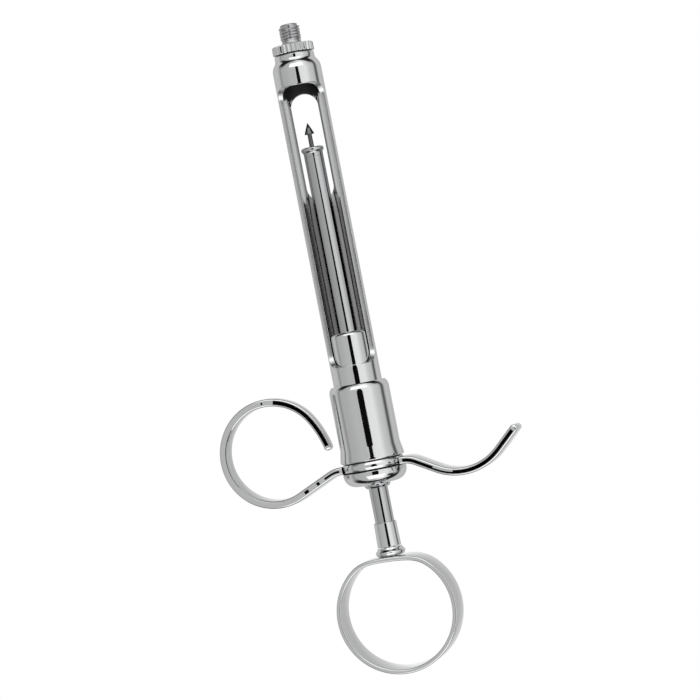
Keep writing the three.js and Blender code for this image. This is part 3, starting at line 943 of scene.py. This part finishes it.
def bent_line(x, heading, legs):
    """The middle line of a bent strip as (point, heading in degrees): runs, and turns of a radius."""
    spot = Vector((x, STRIP_Y))
    line = [(spot.copy(), heading)]
    for kind, amount, bend in legs:
        if kind == "run":
            count = max(1, round(amount / RUN_STEP))
            for _ in range(count):
                spot = spot + polar(amount / count, heading)
                line.append((spot.copy(), heading))
            continue
        sign = math.copysign(1, amount)
        centre = spot + polar(bend * sign, heading + 90)
        count = max(2, math.ceil(abs(amount) / TURN_STEP))
        for _ in range(count):
            heading += amount / count
            spot = centre - polar(bend * sign, heading + 90)
            line.append((spot.copy(), heading))
    return line


def strip_section(spot, heading, half_thick, half_depth, edge):
    """A rounded rectangle across the strip."""
    edge = min(edge, half_thick)
    points = []
    for quarter, (side, depth) in enumerate(((1, 1), (-1, 1), (-1, -1), (1, -1))):
        for k in range(6):
            out = polar(edge, 90 * quarter + 18 * k)
            thick = side * (half_thick - edge) + out.x
            z = depth * (half_depth - edge) + out.y
            place = spot + polar(thick, heading + 90)
            points.append((place.x, place.y, z))
    return points


def strip_runs(line):
    """How far along the strip each point of its line is."""
    runs = [0.0]
    for (spot, _), (following, _) in zip(line, line[1:]):
        runs.append(runs[-1] + (following - spot).length)
    return runs


def strip_depth(run, length, tip_depth):
    """The depth of a strip that thins evenly to its tip."""
    share = max(0.0, (run - LOOP_TAPER_START) / (length - LOOP_TAPER_START))
    return STRIP_DEPTH + (tip_depth - STRIP_DEPTH) * min(1.0, share)


def bent_strip(name, line, tip_depth=STRIP_DEPTH):
    """A strip along its middle line, with a round free end."""
    half = STRIP_THICK / 2
    runs = strip_runs(line)
    rows = []
    for (spot, heading), run in zip(line, runs):
        half_depth = strip_depth(run, runs[-1], tip_depth) / 2
        rows.append(strip_section(spot, heading, half, half_depth, STRIP_EDGE))
    spot, heading = line[-1]
    for k in range(1, 9):
        bow = polar(1, 90 * k / 8)
        shrink = STRIP_EDGE * (1 - bow.x)
        reach = spot + polar(half * bow.y, heading)
        rows.append(strip_section(reach, heading, half * bow.x, tip_depth / 2 - shrink, STRIP_EDGE * bow.x))
    root = tuple(sum(p[a] for p in rows[0]) / len(rows[0]) for a in range(3))
    skin = Skin()
    skin.grid([[root] * len(rows[0])] + rows)
    return skin.finish(name)


LOOP_LINE = bent_line(-STRIP_ROOT_X, 180, LOOP_LEGS)
HOOK_LINE = bent_line(STRIP_ROOT_X, 0, HOOK_LEGS)


def finger_loop(metals):
    strip = bent_strip("finger_loop_fine", LOOP_LINE, LOOP_TIP_DEPTH)
    stand_in(strip, "finger_loop", "syringe_body", metals["polished_chrome"])


def finger_hook(metals):
    piece = bent_strip("finger_hook_fine", HOOK_LINE)
    stand_in(piece, "finger_hook", "syringe_body", metals["polished_chrome"])


def cap_nut(metals):
    outer, back, face = radius("cap_nut"), rear("cap_nut"), front("cap_nut")
    seam = rear("grip_hub") - SOLID_GAP
    profile = rounded([(NUT_BORE_R, face - 1, 0), (NUT_BORE_R, back, 0.1), (outer - NUT_DOME_R, back, 0)])
    profile += arc((outer - NUT_DOME_R, back + NUT_DOME_R), NUT_DOME_R, -90, 0)
    profile += rounded([
        (outer, seam - 0.3, 0),
        (outer, seam, 0.15),
        (NUT_SOCKET_R, seam, 0),
        (NUT_SOCKET_R, face, 0.1),
        (NUT_BORE_R, face, 0.1),
        (NUT_BORE_R, face - 0.9, 0),
    ])
    piece = turned("cap_nut_fine", profile)
    stand_in(piece, "cap_nut", "syringe_body", metals["polished_chrome"])
    # Painted shade: near-black in the nut's socket and on its front face, where it meets the hub.
    paint(piece, metals["seam_painted_shade"], lambda r, station: station > seam - NEAR)


def rod_gland(metals):
    back, face = rear("rod_gland"), front("rod_gland")
    lip = face - GLAND_LIP
    profile = rounded([
        (RUNNING_R, back, 0.05),
        (GLAND_R - 0.4, back, 0.1),
        (GLAND_R, back + 0.5, 0.15),
        (GLAND_R, lip, 0.1),
        (radius("rod_gland"), lip, 0.1),
        (radius("rod_gland"), face, 0.1),
        (RUNNING_R, face, 0.1),
        (RUNNING_R, face - 1, 0),
    ])
    piece = turned("rod_gland_fine", profile, FACETS_SMALL)
    stand_in(piece, "rod_gland", "syringe_body", metals["ground_steel"])


# ---------------------------------------------------------------- thumb ring


def ring_ferrule(metals):
    back, face = rear("ring_ferrule"), front("ring_ferrule")
    profile = rounded([
        (STUD_HOLE_R, back, 0),
        (radius("ring_ferrule"), back, 0.1),
        (FERRULE_FRONT_R, face, 0.15),
        (RUNNING_R, face, 0.05),
        (RUNNING_R, face - FERRULE_SOCKET_DEPTH, 0),
        (STUD_HOLE_R, face - FERRULE_SOCKET_DEPTH, 0),
    ])
    piece = turned("ring_ferrule_fine", profile, FACETS_SMALL)
    stand_in(piece, "ring_ferrule", "ring", metals["polished_chrome"])


def ring_collar(metals):
    back, face = rear("ring_collar"), front("ring_collar")
    bead = radius("ring_collar")
    profile = rounded([
        (STUD_HOLE_R, back - SOLID_GAP, 0),
        (bead - 0.6, back - SOLID_GAP, 0.05),
        (bead - 0.2, back, 0.15),
        (bead, (back + face) / 2 - 0.15, 0.5),
        (3.0, face - 0.25, 0.4),
        (2.9, face + 0.15, 0.1),
        (STUD_HOLE_R, face + 0.15, 0),
    ])
    piece = turned("ring_collar_fine", profile, FACETS_SMALL)
    stand_in(piece, "ring_collar", "ring", metals["polished_chrome"])


def thumb_ring(metals):
    seat = rear("ring_collar") - SOLID_GAP
    lean = math.radians(-RING_LEAN)
    pivot = Vector((0, seat))
    centre = Vector((0, seat - RING_FLAT))
    half_wall = RING_WALL / 2

    def outer(degrees):
        """The outer edge: a circle, pressed flat round 90 degrees with soft corners."""
        facing = math.cos(math.radians(degrees - 90))
        if facing < 0.5:
            return centre + polar(RING_R, degrees)
        share = math.exp((RING_R - (RING_FLAT + RING_EASE) / facing) * RING_SOFT)
        return centre + polar(RING_R - math.log(1 + share) / RING_SOFT, degrees)

    rows = []
    for i in range(RING_STEPS):
        degrees = 360.0 * i / RING_STEPS
        before, here, after = (outer(degrees + d) for d in (-3.0, 0.0, 3.0))
        along = (after - before).normalized()
        out = Vector((along.y, -along.x))
        middle = here - out * half_wall
        heading = math.degrees(math.atan2(out.y, out.x)) - 90 + math.degrees(lean)
        middle = pivot + (Matrix.Rotation(lean, 2) @ (middle - pivot))
        rows.append(strip_section(middle, heading, half_wall, RING_DEPTH / 2, RING_EDGE))
    skin = Skin()
    skin.grid(rows + rows[:1])
    piece = skin.finish("thumb_ring_fine")
    stand_in(piece, "thumb_ring", "ring", metals["polished_chrome"])


def ring_stud(metals):
    back, face = rear("ring_stud"), front("ring_stud")
    profile = rounded([
        (0, back, 0),
        (1.0, back + 0.08, 0.3),
        (STUD_R, back + 0.35, 0.1),
        (STUD_R, face, 0.1),
        (0, face, 0),
    ])
    piece = turned("ring_stud_fine", profile, FACETS_SMALL)
    stand_in(piece, "ring_stud", "ring", metals["ground_steel"])


# ---------------------------------------------------------------- assembly

camera()
studio()

metals = finishes()
for make in (
    needle_adaptor, barrel, guide_bush, spring_housing, grip_hub, finger_loop, finger_hook, cap_nut,
    ring_ferrule, ring_collar, thumb_ring, piston_tip, piston_rod, rod_gland, ring_stud, harpoon,
    return_spring,
):
    make(metals)
floor()
flags("loop_flags", LOOP_LINE, LOOP_FLAGS, LOOP_TIP_DEPTH)
flags("hook_flags", HOOK_LINE, HOOK_FLAGS)
